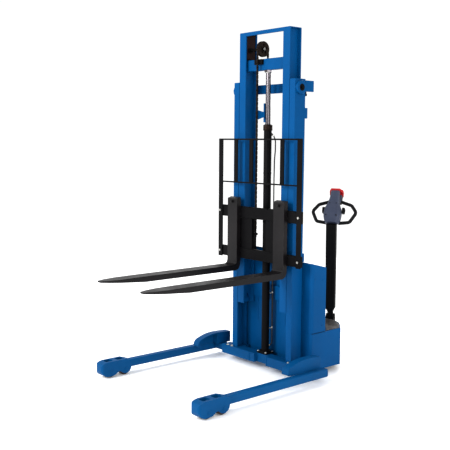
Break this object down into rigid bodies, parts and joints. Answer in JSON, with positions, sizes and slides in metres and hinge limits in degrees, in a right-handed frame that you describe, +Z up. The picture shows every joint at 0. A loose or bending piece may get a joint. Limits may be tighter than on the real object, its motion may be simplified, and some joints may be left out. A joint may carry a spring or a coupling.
{
  "type": "walkie straddle stacker",
  "caption": "Pedestrian straddle stacker with two-stage channel mast, central lift cylinder, hooked forks, load backrest, adjustable straddle legs and a steered tiller",
  "frame": {"origin": "on the floor, centre of the bounding box's bottom face", "axes": "+Z up, the forks point to -Y and the tiller is at +Y, +X is the machine's left-to-right across the forks"},
  "size_m": [1.166, 2.1624, 2.441],
  "materials": {
    "blue_paint": "gloss powder coat",
    "black_paint": "satin black enamel",
    "chrome_rod": "hard chrome",
    "chain_steel": "oiled steel",
    "zinc": "zinc plate",
    "black_plastic": "grained black",
    "grey_plastic": "fine grain grey",
    "red_plastic": "gloss red",
    "polyurethane": "polyurethane",
    "hose_rubber": "black hose"
  },
  "bodies": {
    "chassis": {"outer_mast_channels": "blue_paint", "outer_mast_ties": "blue_paint", "chain_anchor": "blue_paint", "cylinder_barrel": "black_paint", "cylinder_fittings": "black_paint", "hydraulic_hose": "hose_rubber", "base_frame": "blue_paint", "lower_housing": "blue_paint", "power_cover": "blue_paint", "bulkhead_panel": "blue_paint", "battery": "black_plastic", "hydraulic_power_pack": "black_paint", "motor_controller": "black_paint", "dash_plate": "black_plastic", "drive_mount_plate": "blue_paint", "chassis_fasteners": "zinc", "rear_deck_mat": "black_plastic", "lift_chain_rear": "chain_steel"},
    "inner_mast": {"inner_mast_channels": "blue_paint", "inner_mast_ties": "blue_paint", "crosshead": "blue_paint", "piston_rod": "chrome_rod", "sheave_bracket": "black_paint", "lift_chain_wrap": "chain_steel"},
    "outer_rollers": {"outer_mast_rollers": "chain_steel"},
    "inner_rollers": {"inner_mast_rollers": "chain_steel"},
    "sheave": {"chain_sheave": "black_paint"},
    "carriage": {"carriage_bars": "black_paint", "carriage_plates": "black_paint", "load_backrest": "black_paint", "lift_chain_front": "chain_steel"},
    "carriage_rollers_low": {"carriage_lower_rollers": "chain_steel"},
    "carriage_rollers_high": {"carriage_upper_rollers": "chain_steel"},
    "left_fork": {"fork_left": "black_paint"},
    "right_fork": {"fork_right": "black_paint"},
    "left_leg": {"leg_left": "blue_paint", "leg_tip_left": "blue_paint"},
    "right_leg": {"leg_right": "blue_paint", "leg_tip_right": "blue_paint"},
    "load_wheel_lf": {"load_wheel_left_front": "polyurethane"},
    "load_wheel_lr": {"load_wheel_left_rear": "polyurethane"},
    "load_wheel_rf": {"load_wheel_right_front": "polyurethane"},
    "load_wheel_rr": {"load_wheel_right_rear": "polyurethane"},
    "drive_unit": {"steering_yoke": "black_paint", "drive_dome": "black_plastic"},
    "traction_wheel": {"drive_wheel": "polyurethane"},
    "tiller": {"tiller_column": "black_plastic", "tiller_head": "grey_plastic", "handle_loops": "black_plastic"},
    "throttle_body": {"throttle": "black_plastic"},
    "reverse_button_body": {"reverse_button": "red_plastic"},
    "lift_rocker_body": {"lift_rocker": "black_plastic"},
    "horn_button_body": {"horn_button": "black_plastic"},
    "caster_left": {"caster_fork_left": "black_paint"},
    "caster_right": {"caster_fork_right": "black_paint"},
    "caster_roller_left": {"caster_wheel_left": "polyurethane"},
    "caster_roller_right": {"caster_wheel_right": "polyurethane"},
    "lid": {"battery_lid": "blue_paint"},
    "key": {"key_switch": "black_plastic"},
    "stop": {"stop_button": "red_plastic"}
  },
  "joints": [
    {"name": "mast_lift", "type": "slide", "parent": "chassis", "child": "inner_mast", "axis": [0, 0, 1], "range_m": [-0.335, 1.02], "deforming": ["lift_chain_rear"]},
    {"name": "carriage_lift", "type": "slide", "parent": "inner_mast", "child": "carriage", "axis": [0, 0, 1], "range_m": [-0.335, 1.02], "deforming": ["lift_chain_front"]},
    {"name": "outer_roller_spin", "type": "hinge", "parent": "chassis", "child": "outer_rollers", "pos_m": [0, 0.18281, 2.03], "axis": [1, 0, 0], "range_deg": [-1730, 580]},
    {"name": "inner_roller_spin", "type": "hinge", "parent": "inner_mast", "child": "inner_rollers", "pos_m": [0, 0.18281, 0.52], "axis": [1, 0, 0], "range_deg": [-580, 1730]},
    {"name": "carriage_low_roller_spin", "type": "hinge", "parent": "carriage", "child": "carriage_rollers_low", "pos_m": [0, 0.18281, 0.842], "axis": [1, 0, 0], "range_deg": [-580, 1730]},
    {"name": "carriage_high_roller_spin", "type": "hinge", "parent": "carriage", "child": "carriage_rollers_high", "pos_m": [0, 0.18281, 1.06], "axis": [1, 0, 0], "range_deg": [-580, 1730]},
    {"name": "sheave_spin", "type": "hinge", "parent": "inner_mast", "child": "sheave", "pos_m": [-0.062, 0.17981, 2.317], "axis": [1, 0, 0], "range_deg": [-1160, 390]},
    {"name": "fork_left_slide", "type": "slide", "parent": "carriage", "child": "left_fork", "axis": [-1, 0, 0], "range_m": [-0.13, 0.085]},
    {"name": "fork_right_slide", "type": "slide", "parent": "carriage", "child": "right_fork", "axis": [1, 0, 0], "range_m": [-0.13, 0.085]},
    {"name": "leg_left_slide", "type": "slide", "parent": "chassis", "child": "left_leg", "axis": [-1, 0, 0], "range_m": [0, 0.125]},
    {"name": "leg_right_slide", "type": "slide", "parent": "chassis", "child": "right_leg", "axis": [1, 0, 0], "range_m": [0, 0.125]},
    {"name": "load_wheel_lf_spin", "type": "hinge", "parent": "left_leg", "child": "load_wheel_lf", "pos_m": [-0.5375, -0.83219, 0.042], "axis": [1, 0, 0], "continuous": true},
    {"name": "load_wheel_lr_spin", "type": "hinge", "parent": "left_leg", "child": "load_wheel_lr", "pos_m": [-0.5375, -0.71119, 0.042], "axis": [1, 0, 0], "continuous": true},
    {"name": "load_wheel_rf_spin", "type": "hinge", "parent": "right_leg", "child": "load_wheel_rf", "pos_m": [0.5375, -0.83219, 0.042], "axis": [1, 0, 0], "continuous": true},
    {"name": "load_wheel_rr_spin", "type": "hinge", "parent": "right_leg", "child": "load_wheel_rr", "pos_m": [0.5375, -0.71119, 0.042], "axis": [1, 0, 0], "continuous": true},
    {"name": "steer", "type": "hinge", "parent": "chassis", "child": "drive_unit", "pos_m": [0, 0.88281, 0.208], "axis": [0, 0, 1], "range_deg": [-118, 62]},
    {"name": "drive_spin", "type": "hinge", "parent": "drive_unit", "child": "traction_wheel", "pos_m": [0, 0.88281, 0.088], "axis": [0.8829, 0.4695, 0], "continuous": true},
    {"name": "tiller_tilt", "type": "hinge", "parent": "drive_unit", "child": "tiller", "pos_m": [-0.01596, 0.91283, 0.27], "axis": [-0.8829, -0.4695, 0], "range_deg": [0, 75], "stiffness_Nm_per_rad": 60, "springref_deg": -34.38},
    {"name": "throttle_twist", "type": "hinge", "parent": "tiller", "child": "throttle_body", "pos_m": [-0.03041, 0.94, 1.12115], "axis": [0.8829, 0.4695, 0], "range_deg": [-25, 25], "stiffness_Nm_per_rad": 1},
    {"name": "reverse_press", "type": "slide", "parent": "tiller", "child": "reverse_button_body", "axis": [0.2418, -0.4548, -0.8572], "range_m": [0, 0.004], "stiffness_N_per_m": 900, "springref_m": -0.004},
    {"name": "lift_rocker_tilt", "type": "hinge", "parent": "tiller", "child": "lift_rocker_body", "pos_m": [-0.08588, 1.02515, 1.18982], "axis": [-0.2418, 0.4548, 0.8572], "range_deg": [-3.5, 3.5], "stiffness_Nm_per_rad": 0.4},
    {"name": "horn_press", "type": "slide", "parent": "tiller", "child": "horn_button_body", "axis": [0.4024, -0.7568, 0.515], "range_m": [0, 0.0012], "stiffness_N_per_m": 500, "springref_m": -0.002},
    {"name": "caster_left_swivel", "type": "hinge", "parent": "chassis", "child": "caster_left", "pos_m": [-0.268, 0.57281, 0.14], "axis": [0, 0, 1], "continuous": true},
    {"name": "caster_left_spin", "type": "hinge", "parent": "caster_left", "child": "caster_roller_left", "pos_m": [-0.268, 0.59781, 0.046], "axis": [1, 0, 0], "continuous": true},
    {"name": "caster_right_swivel", "type": "hinge", "parent": "chassis", "child": "caster_right", "pos_m": [0.268, 0.57281, 0.14], "axis": [0, 0, 1], "continuous": true},
    {"name": "caster_right_spin", "type": "hinge", "parent": "caster_right", "child": "caster_roller_right", "pos_m": [0.268, 0.59781, 0.046], "axis": [1, 0, 0], "continuous": true},
    {"name": "lid_open", "type": "hinge", "parent": "chassis", "child": "lid", "pos_m": [0, 0.31681, 0.80201], "axis": [1, 0, 0], "range_deg": [0, 70]},
    {"name": "key_turn", "type": "hinge", "parent": "chassis", "child": "key", "pos_m": [-0.245, 0.28633, 0.81608], "axis": [0, 0.2521, 0.9677], "range_deg": [-90, 0]},
    {"name": "stop_press", "type": "slide", "parent": "chassis", "child": "stop", "axis": [0, -0.2521, -0.9677], "range_m": [0, 0.004], "stiffness_N_per_m": 800, "springref_m": -0.003}
  ],
  "couplings": [
    {"joint": "carriage_lift", "follows": "mast_lift", "ratio": 1},
    {"joint": "outer_roller_spin", "follows": "mast_lift", "rad_per_m": -29.412},
    {"joint": "inner_roller_spin", "follows": "mast_lift", "rad_per_m": 29.412},
    {"joint": "carriage_low_roller_spin", "follows": "mast_lift", "rad_per_m": 29.412},
    {"joint": "carriage_high_roller_spin", "follows": "mast_lift", "rad_per_m": 29.412},
    {"joint": "sheave_spin", "follows": "mast_lift", "rad_per_m": -19.608}
  ]
}
